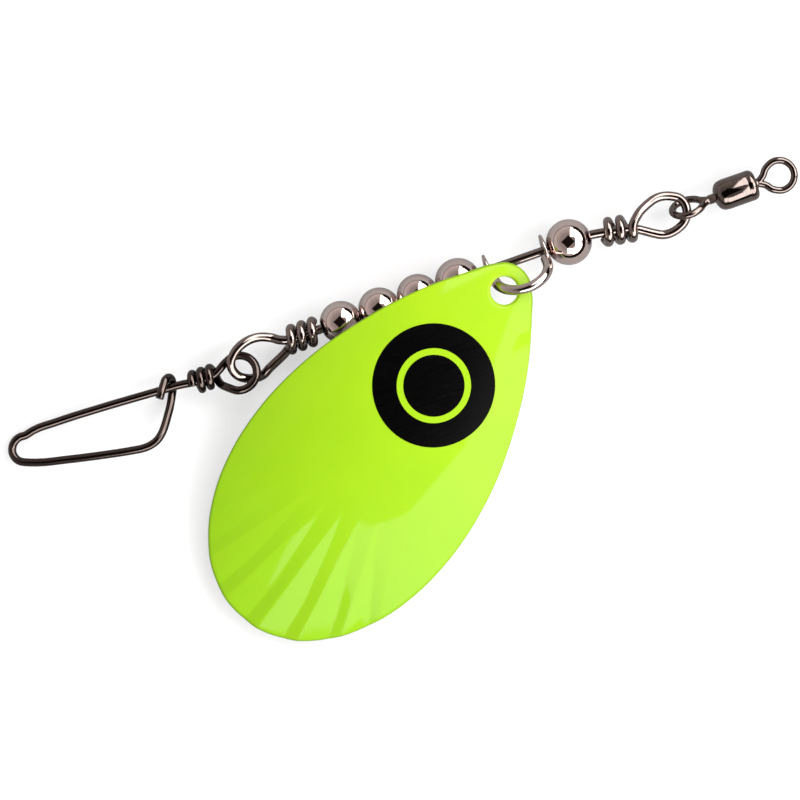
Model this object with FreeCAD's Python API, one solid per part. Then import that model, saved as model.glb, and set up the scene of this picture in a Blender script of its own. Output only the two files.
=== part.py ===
import FreeCAD, Part
import math
import os

# Inline spinner rig lying flat. Millimetres, +Z up.
# Origin: centre of the swivel's line eye. +X points along the shaft towards that eye.

# ---- driving dimensions ----
BEAD_LARGE_R = 2.5
BEAD_SMALL_R = 2.3
BEAD_HOLE_R = 0.58
BEAD_FLAT_R = 0.72
BEAD_GAP = 0.05

SHAFT_D = 1.0
SHAFT_Y = 0.7
SHAFT_Z = 0.4
WRAP_R = 1.15
UPPER_WRAP_X = -17.0
UPPER_WRAP_PITCH = 1.3
UPPER_BEND_X = -21.7
UPPER_BEND_SLOPE = 0.17
LOWER_WRAP_X = -56.35
LOWER_WRAP_PITCH = 1.2
LOWER_LOOP_TILT = 28.0
LOWER_LOOP_X = -62.3
LOWER_LOOP_Y = -1.2

EYE_WIRE_D = 0.78
EYE_R = 1.65
EYE_BORE_R = 1.3
EYE_STEM_R = 0.52
EYE_STEM_HOLE_R = 0.59
EYE_HEAD_R = 0.98
EYE_HEAD_LENGTH = 0.8
LINK_EYE_X = -10.6
LINK_EYE_TILT = 58.0

BARREL_RIGHT_X = -2.7
BARREL_LEFT_X = -7.4
BARREL_R = 1.7
BARREL_WALL = 0.5
BARREL_END_WALL = 0.6

TOP_BEAD_X = -24.0
CLEVIS_UPPER_X = -26.76
CLEVIS_LOWER_X = -33.3
CLEVIS_EAR_R = 1.82
CLEVIS_EAR_THICK = 0.55
CLEVIS_WIRE_D = 1.1
CLEVIS_DEPTH = 5.1
CLEVIS_LEAN = 50.0
STACK_TOP_X = -36.75

BLADE_LENGTH = 48.6
BLADE_THICK = 0.8
BLADE_HOLE_R = 1.5
BLADE_HOLE_T = 3.0
BLADE_ACROSS_R = 28.0
BLADE_ALONG_R = 72.0
BLADE_CROWN_T = 24.0
BLADE_HOLE_X = -32.59
BLADE_HOLE_Y = -2.08
BLADE_HOLE_Z = 3.45
BLADE_AZIMUTH = -146.8
BLADE_ROLL = 6.0
BLADE_TIP_R = 3.2
BLADE_TIP_TURN = 56.0
# half width of the straight-sided stretch at distances from the narrow tip
BLADE_SIDE = [
    (3.8, 4.4),
    (7.8, 7.0),
    (13.9, 9.92),
    (22.3, 12.5),
]
BLADE_HALF_WIDTH = 13.22
BLADE_WIDEST_T = 29.4
BLADE_END_FULLNESS = 2.08
SPOT_T = 15.6
SPOT_R = 6.63
SPOT_THICK = 0.05

SNAP_WIRE_D = 0.9
SNAP_PIVOT_X = -62.5
SNAP_PIVOT_Z = 0.35
SNAP_ROLL = -16.0
SNAP_DROOP = -3.4
SNAP_EYE_Y = -0.87
SNAP_EYE_R = 1.96
SNAP_WRAP_X = -65.0
SNAP_WRAP_PITCH = 1.0
SNAP_CORE_Y = -0.2
SNAP_BEND_X = -87.3
SNAP_BEND_Y = -0.95
SNAP_BEND_R = 1.5

TINY = 1e-7
X_AXIS = FreeCAD.Vector(1, 0, 0)
Y_AXIS = FreeCAD.Vector(0, 1, 0)
Z_AXIS = FreeCAD.Vector(0, 0, 1)


def vec(x, y=0.0, z=0.0):
    return FreeCAD.Vector(x, y, z)


# ---- bent wire: tangent circular arcs through points ----
def tangent_through(before, here, after):
    """Direction at `here` of the circle through three points."""
    first = here - before
    second = after - here
    weight_first = second.Length / first.Length
    direction = first * weight_first + second / weight_first
    return direction.normalize()


def mirrored_tangent(tangent, chord):
    """End direction of the single arc that leaves the other end of the chord along `tangent`."""
    along = FreeCAD.Vector(chord).normalize()
    return (along * (2 * tangent.dot(along)) - tangent).normalize()


def arc_edge(start, tangent, end):
    chord = end - start
    along = FreeCAD.Vector(chord).normalize()
    cosine = min(1.0, tangent.dot(along))
    if 1.0 - cosine < TINY:
        return Part.LineSegment(start, end).toShape()
    half_turn = math.acos(cosine)
    reach = chord.Length / (2 * math.cos(half_turn / 2))
    middle = start + (tangent + along).normalize() * reach
    return Part.Arc(start, middle, end).toShape()


def biarc_edges(start, start_dir, end, end_dir):
    """Two tangent arcs from one directed point to another."""
    span = end - start
    if (span.cross(start_dir).Length + span.cross(end_dir).Length) < TINY * span.Length:
        return [Part.LineSegment(start, end).toShape()]
    both = span.dot(start_dir + end_dir)
    spread = 2 * (1 - start_dir.dot(end_dir))
    if spread < TINY:
        reach = span.dot(span) / (4 * span.dot(end_dir))
    else:
        reach = (math.sqrt(both * both + spread * span.dot(span)) - both) / spread
    middle = ((start + start_dir * reach) + (end - end_dir * reach)) * 0.5
    last = arc_edge(end, end_dir * -1, middle)
    return [arc_edge(start, start_dir, middle), reversed_edge(last)]


def reversed_edge(edge):
    curve = edge.Curve
    ends = [edge.valueAt(edge.LastParameter), edge.valueAt(edge.FirstParameter)]
    if isinstance(curve, Part.Line):
        return Part.LineSegment(ends[0], ends[1]).toShape()
    middle = edge.valueAt((edge.FirstParameter + edge.LastParameter) / 2)
    return Part.Arc(ends[0], middle, ends[1]).toShape()


def route_edges(points):
    inner = [tangent_through(*points[i - 1:i + 2]) for i in range(1, len(points) - 1)]
    first = mirrored_tangent(inner[0], points[1] - points[0])
    last = mirrored_tangent(inner[-1], points[-1] - points[-2])
    directions = [first] + inner + [last]
    edges = []
    for i in range(len(points) - 1):
        edges += biarc_edges(points[i], directions[i], points[i + 1], directions[i + 1])
    return edges, directions


def wire_solid(points, diameter):
    """Round wire bent along the points, with square-cut ends."""
    edges, directions = route_edges(points)
    path = Part.Wire(edges)
    ring = Part.Circle(points[0], directions[0], diameter / 2).toShape()
    section = Part.Face(Part.Wire(ring))
    solid = path.makePipe(section)
    if solid.Volume < 0:
        solid.reverse()
    expected = math.pi * diameter ** 2 / 4 * path.Length
    print("wire volume over section times length: %.5f" % (solid.Volume / expected))
    return solid


def coil(x_start, pitch, radius, first_deg, last_deg, step_deg=45.0):
    """Points of a coil round the local X axis; growing angles advance towards -X."""
    count = int(round(abs(last_deg - first_deg) / step_deg))
    points = []
    for i in range(count + 1):
        turn = first_deg + (last_deg - first_deg) * i / count
        angle = math.radians(turn)
        x = x_start - pitch * (turn - first_deg) / 360.0
        points.append(vec(x, radius * math.cos(angle), radius * math.sin(angle)))
    return points


# ---- swivel ----
def pear_eye():
    """Wire eye at the origin in the XY plane, with a stem and an upset head towards -X."""
    half = [
        vec(EYE_R, 0),
        vec(EYE_R * math.cos(math.radians(45)), EYE_R * math.sin(math.radians(45))),
        vec(0, EYE_R),
        vec(EYE_R * math.cos(math.radians(130)), EYE_R * math.sin(math.radians(130))),
        vec(-1.85, 0.42),
        vec(-2.35, 0.14),
        vec(-2.9, 0.13),
    ]
    upper = wire_solid(half, EYE_WIRE_D)
    lower = upper.mirror(vec(0), Y_AXIS)
    eye = upper.fuse(lower)
    return eye


def swivel_eye(neck_start, head_start):
    """Eye, stem from the neck to inside the barrel, and the head that the barrel holds."""
    eye = pear_eye()
    stem = Part.makeCylinder(EYE_STEM_R, neck_start - head_start, vec(neck_start), X_AXIS * -1)
    head = Part.makeCylinder(EYE_HEAD_R, EYE_HEAD_LENGTH, vec(head_start), X_AXIS * -1)
    return eye.fuse([stem, head])


def swivel_line_eye():
    body = swivel_eye(-2.45, BARREL_RIGHT_X - BARREL_END_WALL - 0.1)
    land = Part.makeCylinder(EYE_BORE_R, 4, vec(0, 0, -2), Z_AXIS)
    return body.cut(land).removeSplitter()


def swivel_link_eye():
    gap = LINK_EYE_X - BARREL_LEFT_X
    body = swivel_eye(-2.45, gap - BARREL_END_WALL - 0.1)
    body.rotate(vec(0), Z_AXIS, 180)
    body.rotate(vec(0), X_AXIS, 180 - LINK_EYE_TILT)
    body.translate(vec(LINK_EYE_X))
    return body.removeSplitter()


def swivel_barrel():
    """Drum with a slightly flatter mouth towards the line eye and a domed one towards the shaft."""
    right, left = BARREL_RIGHT_X, BARREL_LEFT_X
    shoulder_right = right - 0.75
    shoulder_left = left + 1.15
    edges = [
        Part.LineSegment(vec(right, EYE_STEM_HOLE_R), vec(right, 0.95)).toShape(),
        Part.Arc(vec(right, 0.95), vec(right - 0.24, 1.48), vec(shoulder_right, BARREL_R)).toShape(),
        Part.LineSegment(vec(shoulder_right, BARREL_R), vec(shoulder_left, BARREL_R)).toShape(),
        Part.Arc(vec(shoulder_left, BARREL_R), vec(left + 0.36, 1.36), vec(left, 0.8)).toShape(),
        Part.LineSegment(vec(left, 0.8), vec(left, EYE_STEM_HOLE_R)).toShape(),
        Part.LineSegment(vec(left, EYE_STEM_HOLE_R), vec(right, EYE_STEM_HOLE_R)).toShape(),
    ]
    outer = Part.Face(Part.Wire(edges)).revolve(vec(0), X_AXIS, 360)
    cavity_r = BARREL_R - BARREL_WALL
    length = right - left - 2 * BARREL_END_WALL
    cavity = Part.makeCylinder(cavity_r, length, vec(right - BARREL_END_WALL), X_AXIS * -1)
    return outer.cut(cavity)


# ---- shaft ----
def upper_core_y(x):
    """Sideways place of the core beside the upper wraps, where it bends away from the axis."""
    return -UPPER_BEND_SLOPE * (x - UPPER_BEND_X)


def upper_loop_points():
    """From the cut end, through the wraps and round the loop, back to the core (axis coordinates)."""
    wraps = coil(UPPER_WRAP_X, UPPER_WRAP_PITCH, WRAP_R, 90, 960)
    wraps = [p + vec(0, upper_core_y(p.x)) for p in wraps]
    wraps.reverse()
    loop = [
        vec(-16.05, 0.28, 0.98),
        vec(-14.75, 1.0, 0.55),
        vec(-13.35, 1.37, 0.2),
        vec(-12.1, 1.15, -0.05),
        vec(-10.95, 0.35, -0.14),
        vec(-10.72, -0.8, -0.18),
        vec(-11.3, -1.95, -0.14),
        vec(-12.5, -2.6, -0.05),
        vec(-13.9, -2.68, 0),
        vec(-15.2, -2.02, 0),
        vec(-16.3, -1.27, 0),
    ]
    core = [vec(x, upper_core_y(x)) for x in (-17.4, -18.6, -19.9, -21.1)]
    return wraps + loop + core + [vec(-22.3), vec(-23.8)]


def lower_loop_points():
    """From the core through the wraps, round the loop and back into the wraps, to the cut end."""
    core = [
        vec(-50.0),
        vec(-54.0),
        vec(-56.2),
    ]
    flat_loop = [
        (-57.1, 0.33),
        (-58.0, 0.92),
        (-59.3, 1.4),
        (-60.9, 1.3),
        (-62.25, 0.6),
        (-63.0, -0.4),
        (-62.85, -1.6),
        (-61.8, -2.45),
        (-60.4, -2.65),
        (-58.9, -2.0),
    ]
    slope = math.tan(math.radians(LOWER_LOOP_TILT))
    loop = []
    for x, y in flat_loop:
        rise = (y - LOWER_LOOP_Y) * 0.81 - (x - LOWER_LOOP_X) * 0.58
        ease = min(1.0, (-57.0 - x) / 2.8)
        loop.append(vec(x, y, rise * slope * ease))
    wraps = coil(LOWER_WRAP_X, LOWER_WRAP_PITCH, WRAP_R, -135, -1110)
    return core + loop + [vec(-57.4, -1.33, -0.95)] + wraps


def shaft_wire():
    points = upper_loop_points() + lower_loop_points()
    offset = vec(0, SHAFT_Y, SHAFT_Z)
    return wire_solid([p + offset for p in points], SHAFT_D)


# ---- beads ----
def bead(radius, x):
    """Drilled ball with a small flat round each mouth of its hole."""
    half_length = math.sqrt(radius ** 2 - BEAD_FLAT_R ** 2)
    ball = Part.makeSphere(radius)
    width = 4 * radius
    slab = Part.makeBox(2 * half_length, width, width, vec(-half_length, -width / 2, -width / 2))
    drill = Part.makeCylinder(BEAD_HOLE_R, width, vec(-width / 2), X_AXIS)
    solid = ball.common(slab).cut(drill)
    solid.translate(vec(x, SHAFT_Y, SHAFT_Z))
    return solid


def bead_stack():
    """Beads from the clevis towards the snap: one large, then three small, mouth to mouth."""
    beads = {}
    x = STACK_TOP_X
    half = math.sqrt(BEAD_LARGE_R ** 2 - BEAD_FLAT_R ** 2)
    beads["bead_4"] = bead(BEAD_LARGE_R, x)
    for number in (3, 2, 1):
        small_half = math.sqrt(BEAD_SMALL_R ** 2 - BEAD_FLAT_R ** 2)
        x -= half + BEAD_GAP + small_half
        beads["bead_%d" % number] = bead(BEAD_SMALL_R, x)
        half = small_half
    return beads


# ---- clevis ----
def clevis_bow_frame():
    """Middle of the bow on the shaft axis and the unit direction of its depth."""
    middle_x = (CLEVIS_UPPER_X + CLEVIS_LOWER_X) / 2
    lean = math.radians(CLEVIS_LEAN)
    return vec(middle_x, SHAFT_Y, SHAFT_Z), vec(0, -math.cos(lean), math.sin(lean))


def clevis():
    middle, depth = clevis_bow_frame()
    inset = (CLEVIS_WIRE_D - CLEVIS_EAR_THICK) / 2
    half = (CLEVIS_UPPER_X - CLEVIS_LOWER_X) / 2 - inset
    straight = CLEVIS_DEPTH - half
    start = CLEVIS_WIRE_D / 2 + BEAD_HOLE_R + 0.12
    points = [
        middle + X_AXIS * half + depth * start,
        middle + X_AXIS * half + depth * (start + straight) * 0.5,
        middle + X_AXIS * half + depth * straight,
    ]
    for turn in range(22, 180, 22):
        angle = math.radians(turn * 180 / 176)
        across = X_AXIS * (half * math.cos(angle))
        points.append(middle + across + depth * (straight + half * math.sin(angle)))
    points += [
        middle - X_AXIS * half + depth * (start + straight) * 0.5,
        middle - X_AXIS * half + depth * start,
    ]
    solid = wire_solid(points, CLEVIS_WIRE_D)
    ears = []
    for x in (CLEVIS_UPPER_X, CLEVIS_LOWER_X):
        base = vec(x - CLEVIS_EAR_THICK / 2, SHAFT_Y, SHAFT_Z)
        ears.append(Part.makeCylinder(CLEVIS_EAR_R, CLEVIS_EAR_THICK, base, X_AXIS))
    solid = solid.fuse(ears)
    drill = Part.makeCylinder(BEAD_HOLE_R, 12, vec(CLEVIS_LOWER_X - 2, SHAFT_Y, SHAFT_Z), X_AXIS)
    return solid.cut(drill).removeSplitter()


# ---- blade ----
def blade_half_outline():
    """Distance from the tip and half width: tip arc, swelling side, then a full rounded end."""
    points = []
    for i in range(3):
        turn = math.radians(BLADE_TIP_TURN * i / 2)
        points.append((BLADE_TIP_R * (1 - math.cos(turn)), BLADE_TIP_R * math.sin(turn)))
    points += BLADE_SIDE
    power = 2 / BLADE_END_FULLNESS
    end_length = BLADE_LENGTH - BLADE_WIDEST_T
    for i in range(7):
        turn = math.radians(90 - 15 * i)
        t = BLADE_WIDEST_T + end_length * abs(math.cos(turn)) ** power
        points.append((t, BLADE_HALF_WIDTH * max(0.0, math.sin(turn)) ** power))
    return points


def blade_outline_face(height):
    """Teardrop outline, symmetric about the local X axis, tip at the origin."""
    half = blade_half_outline()
    around = [vec(t, w, height) for t, w in half]
    around += [vec(t, -w, height) for t, w in half[-2:0:-1]]
    outline = Part.BSplineCurve()
    outline.interpolate(Points=around, PeriodicFlag=True)
    return Part.Face(Part.Wire(outline.toShape()))


def blade_dome(offset):
    """Solid under the convex face, raised by offset; crown of the face at height zero."""
    ring_r = BLADE_ALONG_R - BLADE_ACROSS_R
    centre = vec(BLADE_CROWN_T, 0, -BLADE_ALONG_R)
    return Part.makeTorus(ring_r, BLADE_ACROSS_R + offset, centre, Y_AXIS)


def blade_height(t):
    """Height of the convex face on the centre line."""
    return math.sqrt(BLADE_ALONG_R ** 2 - (t - BLADE_CROWN_T) ** 2) - BLADE_ALONG_R


def blade_normal(t):
    away = vec(t - BLADE_CROWN_T, 0, blade_height(t) + BLADE_ALONG_R)
    return away.normalize()


def place_on_blade(shape):
    """Move a shape from the blade's own frame to where the blade lies."""
    hole_top = vec(BLADE_HOLE_T, 0, blade_height(BLADE_HOLE_T))
    hole_mid = hole_top - blade_normal(BLADE_HOLE_T) * (BLADE_THICK / 2)
    shape.translate(hole_mid * -1)
    shape.rotate(vec(0), Z_AXIS, BLADE_AZIMUTH)
    shape.rotate(vec(0), X_AXIS, BLADE_ROLL)
    shape.translate(vec(BLADE_HOLE_X, BLADE_HOLE_Y, BLADE_HOLE_Z))
    return shape


def blade():
    depth = 12.0
    prism = blade_outline_face(-depth).extrude(Z_AXIS * (depth + 1))
    shell = prism.common(blade_dome(0)).cut(blade_dome(-BLADE_THICK))
    normal = blade_normal(BLADE_HOLE_T)
    start = vec(BLADE_HOLE_T, 0, blade_height(BLADE_HOLE_T)) - normal * 3
    shell = shell.cut(Part.makeCylinder(BLADE_HOLE_R, 6, start, normal))
    return place_on_blade(shell)


def blade_spot():
    column = Part.makeCylinder(SPOT_R, 6, vec(SPOT_T, 0, -5), Z_AXIS)
    layer = column.common(blade_dome(SPOT_THICK)).cut(blade_dome(0))
    return place_on_blade(layer)


# ---- snap ----
def place_snap(shape):
    """Roll and droop the flat snap about the eye's middle, then lower it into the shaft's loop."""
    pivot = vec(SNAP_PIVOT_X, SNAP_EYE_Y, 0)
    shape.rotate(pivot, X_AXIS, SNAP_ROLL)
    shape.rotate(pivot, Y_AXIS, SNAP_DROOP)
    shape.translate(vec(0, 0, SNAP_PIVOT_Z))
    return shape


def snap_eye_points():
    """From the cut end through the wraps, round the eye and into the core."""
    radius = SNAP_WIRE_D + 0.07
    wraps = coil(SNAP_WRAP_X, SNAP_WRAP_PITCH, radius, 235, 1205)
    wraps = [p + vec(0, SNAP_CORE_Y) for p in wraps]
    wraps.reverse()
    eye = []
    for turn in (220, 250, 290, 330, 10, 50, 90, 125):
        angle = math.radians(turn)
        x = SNAP_PIVOT_X + SNAP_EYE_R * math.cos(angle)
        eye.append(vec(x, SNAP_EYE_Y + SNAP_EYE_R * math.sin(angle)))
    core = [
        vec(-64.4, SNAP_CORE_Y + 0.44),
        vec(-65.15, SNAP_CORE_Y + 0.07),
        vec(-65.9, SNAP_CORE_Y),
        vec(-67.2, SNAP_CORE_Y),
    ]
    return wraps + eye + core


def snap_bend_points(first_deg, last_deg):
    count = 4
    points = []
    for i in range(count + 1):
        angle = math.radians(first_deg + (last_deg - first_deg) * i / count)
        x = SNAP_BEND_X + SNAP_BEND_R * math.cos(angle)
        points.append(vec(x, SNAP_BEND_Y + SNAP_BEND_R * math.sin(angle)))
    return points


def widened(x, y, z=0.0):
    """Point of the flat snap that lands at y once the snap is rolled."""
    return vec(x, SNAP_EYE_Y + (y - SNAP_EYE_Y) / math.cos(math.radians(SNAP_ROLL)), z)


def snap_wire():
    leg = [
        widened(-68.7, 0.0),
        widened(-72.2, 0.22),
        widened(-77.6, 0.52),
        widened(-83.0, 0.7),
        widened(-86.0, 0.66),
    ]
    points = snap_eye_points() + leg + snap_bend_points(76, 180)
    return place_snap(wire_solid(points, SNAP_WIRE_D))


def snap_gate():
    """Sprung side: lower leg, corner, leg passing under the standing leg, and the hook over it."""
    leg = [
        widened(-86.6, -2.76),
        widened(-83.0, -3.63),
        widened(-78.7, -4.53),
        widened(-76.0, -5.02),
        widened(-74.9, -5.16),
        widened(-74.0, -5.1),
        widened(-73.2, -4.8, -0.05),
        widened(-72.6, -4.32, -0.15),
        widened(-72.1, -3.68, -0.3),
        widened(-71.5, -2.65, -0.62),
        widened(-70.95, -1.65, -0.9),
        widened(-70.4, -0.55, -0.98),
        widened(-70.0, 0.35, -0.94),
        widened(-69.8, 0.98, -0.43),
        widened(-69.9, 1.14, 0.2),
        widened(-70.25, 0.87, 0.82),
        widened(-70.75, 0.13, 1.08),
        widened(-71.5, -0.98, 1.12),
    ]
    points = snap_bend_points(180, 250) + leg
    return place_snap(wire_solid(points, SNAP_WIRE_D))


def build():
    nodes = {
        "swivel_line_eye": swivel_line_eye(),
        "swivel_barrel": swivel_barrel(),
        "swivel_link_eye": swivel_link_eye(),
        "shaft_wire": shaft_wire(),
        "top_bead": bead(BEAD_LARGE_R, TOP_BEAD_X),
        "clevis": clevis(),
        "blade": blade(),
        "blade_spot": blade_spot(),
        "snap_wire": snap_wire(),
        "snap_gate": snap_gate(),
    }
    nodes.update(bead_stack())
    return nodes


def main():
    os.makedirs("parts", exist_ok=True)
    for name, shape in build().items():
        print(name, "solids", len(shape.Solids), "valid", shape.isValid(), "volume %.3f" % shape.Volume)
        shape.exportStep("parts/%s.step" % name)


main()
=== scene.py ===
import bpy
import math
from mathutils import Matrix, Vector


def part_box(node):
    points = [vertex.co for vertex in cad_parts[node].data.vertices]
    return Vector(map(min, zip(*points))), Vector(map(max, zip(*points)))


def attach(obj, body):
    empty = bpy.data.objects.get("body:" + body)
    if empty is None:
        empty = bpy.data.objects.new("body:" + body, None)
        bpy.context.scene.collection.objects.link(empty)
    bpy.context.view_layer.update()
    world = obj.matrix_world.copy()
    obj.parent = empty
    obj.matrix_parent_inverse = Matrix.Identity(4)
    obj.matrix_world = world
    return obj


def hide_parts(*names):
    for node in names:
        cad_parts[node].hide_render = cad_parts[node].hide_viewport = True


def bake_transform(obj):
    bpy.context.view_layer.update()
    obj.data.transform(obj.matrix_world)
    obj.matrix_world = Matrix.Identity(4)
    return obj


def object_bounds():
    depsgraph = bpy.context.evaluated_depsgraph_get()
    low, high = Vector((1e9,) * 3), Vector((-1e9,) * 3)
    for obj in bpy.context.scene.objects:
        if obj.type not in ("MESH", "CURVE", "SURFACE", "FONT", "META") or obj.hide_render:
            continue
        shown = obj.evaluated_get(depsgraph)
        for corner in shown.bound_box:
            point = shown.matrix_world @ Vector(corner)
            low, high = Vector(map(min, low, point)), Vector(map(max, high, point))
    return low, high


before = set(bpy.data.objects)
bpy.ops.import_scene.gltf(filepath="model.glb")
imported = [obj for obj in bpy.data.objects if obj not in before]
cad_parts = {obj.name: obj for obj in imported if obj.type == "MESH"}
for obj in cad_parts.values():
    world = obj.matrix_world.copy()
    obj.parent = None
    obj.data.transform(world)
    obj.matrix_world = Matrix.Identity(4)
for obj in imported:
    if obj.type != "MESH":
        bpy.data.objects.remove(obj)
CAD_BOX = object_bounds()

# Lengths in this script are millimetres in the row frame unless a name says otherwise.
MM = 0.001
X_AXIS = Vector((1, 0, 0))
Y_AXIS = Vector((0, 1, 0))
Z_AXIS = Vector((0, 0, 1))

# ---- the object's driving sizes, as the CAD model has them ----
SHAFT_Y = 0.7
SHAFT_Z = 0.4
SHAFT_R = 0.5
HOLE_R = 0.58
SNAP_WIRE_R = 0.45
EYE_WIRE_R = 0.39
EYE_R = 1.65
EYE_STEM_R = 0.52
EYE_HEAD_R = 0.94
LINE_HEAD_X = -3.4
LINK_HEAD_X = -3.9
LINK_EYE_X = -10.6
LINK_EYE_TURN = 58.0
BARREL_STEM_HOLE_R = 0.59

BLADE_LENGTH = 48.6
BLADE_THICK = 0.8
BLADE_ACROSS_R = 28.0
BLADE_ALONG_R = 72.0
BLADE_CROWN_T = 24.0
BLADE_HOLE_T = 3.0
BLADE_HOLE_R = 1.5
BLADE_HOLE = Vector((-32.59, -2.08, 3.45))
BLADE_AZIMUTH = -146.8
BLADE_ROLL = 6.0
BLADE_TIP_R = 3.2
BLADE_TIP_TURN = 56.0
BLADE_SIDE = [(3.8, 4.4), (7.8, 7.0), (13.9, 9.92), (22.3, 12.5)]
BLADE_HALF_WIDTH = 13.22
BLADE_WIDEST_T = 29.4
BLADE_END_FULLNESS = 2.08
SPOT_T = 15.6
SPOT_PRINT = ((0.0, 3.3), (4.0, 6.63))


# ---- mesh helpers ----
def make_piece(name, parts):
    """Smooth mesh object in metres from (verts, faces, grain) parts in millimetres.

    grain is a point per vertex that the metal materials read: streaks run where it changes slowly.
    """
    verts = []
    faces = []
    grain = []
    for part_verts, part_faces, part_grain in parts:
        start = len(verts)
        verts += part_verts
        grain += part_grain
        faces += [tuple(i + start for i in face) for face in part_faces]
    mesh = bpy.data.meshes.new(name)
    mesh.from_pydata([tuple(Vector(v) * MM) for v in verts], [], faces)
    layer = mesh.attributes.new("grain", "FLOAT_VECTOR", "POINT")
    layer.data.foreach_set("vector", [c for g in grain for c in g])
    mesh.polygons.foreach_set("use_smooth", [True] * len(mesh.polygons))
    mesh.update()
    piece = bpy.data.objects.new(name, mesh)
    bpy.context.scene.collection.objects.link(piece)
    return piece


def place_piece(piece, body, nodes, material):
    piece.data.materials.append(material)
    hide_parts(*nodes)
    if body:
        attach(piece, body)
    return piece


# How fast the grain runs along, outwards and round a turned piece, and along and round a wire.
TURNED_GRAIN = (4.0, 3.0, 0.3)
WIRE_GRAIN = (0.12, 2.2)


def lathe(profile, segments, origin):
    """Ring turned round X from a closed profile of (along, radius) pairs, run so that faces look out."""
    grain_along, grain_out, grain_round = TURNED_GRAIN
    verts = []
    faces = []
    grain = []
    count = len(profile)
    for i in range(segments):
        angle = 2 * math.pi * i / segments
        y, z = math.cos(angle), math.sin(angle)
        for along, radius in profile:
            verts.append(origin + X_AXIS * along + (Y_AXIS * y + Z_AXIS * z) * radius)
            grain.append((along * grain_along + radius * grain_out, y * grain_round, z * grain_round))
    for i in range(segments):
        a = i * count
        b = ((i + 1) % segments) * count
        for j in range(count):
            k = (j + 1) % count
            faces.append((a + j, b + j, b + k, a + k))
    return verts, faces, grain


def arc_profile(centre, radius, first_deg, last_deg, count):
    points = []
    for i in range(count + 1):
        angle = math.radians(first_deg + (last_deg - first_deg) * i / count)
        points.append((centre[0] + radius * math.cos(angle), centre[1] + radius * math.sin(angle)))
    return points


# ---- bent wire: tangent circular arcs through points ----
ARC_STEP = math.radians(9)
WIRE_SEGMENTS = 28
CUT_SOFTNESS = 0.2


def tangent_through(before, here, after):
    first = here - before
    second = after - here
    weight = second.length / first.length
    return (first * weight + second / weight).normalized()


def mirrored_tangent(tangent, chord):
    along = chord.normalized()
    return (along * (2 * tangent.dot(along)) - tangent).normalized()


def arc_samples(start, tangent, end, step):
    """Points after start, up to end, on the arc that leaves start along tangent."""
    chord = end - start
    along = chord.normalized()
    half_turn = tangent.angle(along, 0.0)
    if half_turn < 1e-4:
        count = max(1, int(chord.length / (6 * step)))
        return [start + chord * (i + 1) / count for i in range(count)]
    normal = tangent.cross(along).normalized()
    inward = normal.cross(tangent)
    radius = chord.length / (2 * math.sin(half_turn))
    centre = start + inward * radius
    turn = 2 * half_turn
    count = max(1, math.ceil(max(turn / ARC_STEP, turn * radius / (4 * step))))
    spoke = start - centre
    return [centre + Matrix.Rotation(turn * (i + 1) / count, 3, normal) @ spoke for i in range(count)]


def wire_path(points, step=0.25):
    """Smooth centre line through the points: two tangent arcs from each point to the next."""
    inner = [tangent_through(*points[i - 1:i + 2]) for i in range(1, len(points) - 1)]
    first = mirrored_tangent(inner[0], points[1] - points[0])
    last = mirrored_tangent(inner[-1], points[-1] - points[-2])
    directions = [first] + inner + [last]
    path = [points[0].copy()]
    for i in range(len(points) - 1):
        start, start_dir = points[i], directions[i]
        end, end_dir = points[i + 1], directions[i + 1]
        span = end - start
        if span.cross(start_dir).length + span.cross(end_dir).length < 1e-5 * span.length:
            path += arc_samples(start, start_dir, end, step)
            continue
        both = span.dot(start_dir + end_dir)
        spread = 2 * (1 - start_dir.dot(end_dir))
        if spread < 1e-6:
            reach = span.dot(span) / (4 * span.dot(end_dir))
        else:
            reach = (math.sqrt(both * both + spread * span.dot(span)) - both) / spread
        middle = ((start + start_dir * reach) + (end - end_dir * reach)) * 0.5
        path += arc_samples(start, start_dir, middle, step)
        back = arc_samples(end, -end_dir, middle, step)
        path += list(reversed(back[:-1])) + [end.copy()]
    return path


def tube_rings(path, radius):
    """Rings (centre, direction, side, radius, distance) of a round wire, its cut ends softened."""
    tangents = []
    for i in range(len(path)):
        before = path[max(0, i - 1)]
        after = path[min(len(path) - 1, i + 1)]
        tangents.append((after - before).normalized())
    side = tangents[0].orthogonal().normalized()
    rings = []
    length = 0.0
    for i, point in enumerate(path):
        if i:
            length += (point - path[i - 1]).length
            side = tangents[i - 1].rotation_difference(tangents[i]) @ side
            side = (side - tangents[i] * side.dot(tangents[i])).normalized()
        rings.append((point, tangents[i], side.copy(), radius, length))
    return softened_end(rings, 1) + rings[1:-1] + softened_end(rings, -1)


def skin(rings, closed=(True, True)):
    """Surface over the rings; a closed end comes to a point, the other ends are flat joins."""
    count = WIRE_SEGMENTS
    grain_along, grain_round = WIRE_GRAIN
    verts = []
    faces = []
    grain = []
    for point, tangent, side, ring_r, along in rings:
        other = tangent.cross(side)
        for k in range(count):
            angle = 2 * math.pi * k / count
            a, b = math.cos(angle), math.sin(angle)
            verts.append(point + (side * a + other * b) * ring_r)
            grain.append((along * grain_along, a * grain_round, b * grain_round))
    for start in range(0, (len(rings) - 1) * count, count):
        for k in range(count):
            n = (k + 1) % count
            faces.append((start + k, start + n, start + count + n, start + count + k))
    for is_closed, i, outward in ((closed[0], 0, -1), (closed[1], len(rings) - 1, 1)):
        rim = list(range(i * count, (i + 1) * count))[::outward]
        if is_closed:
            verts.append(rings[i][0].copy())
            grain.append((rings[i][4], 0.0, 0.0))
            faces += [(len(verts) - 1, a, b) for a, b in zip(rim, rim[1:] + rim[:1])]
        else:
            verts += [verts[k].copy() for k in rim]
            grain += [grain[k] for k in rim]
            faces.append(tuple(range(len(verts) - count, len(verts))))
    return verts, faces, grain


def tube(path, radius):
    return skin(tube_rings(path, radius))


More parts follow.
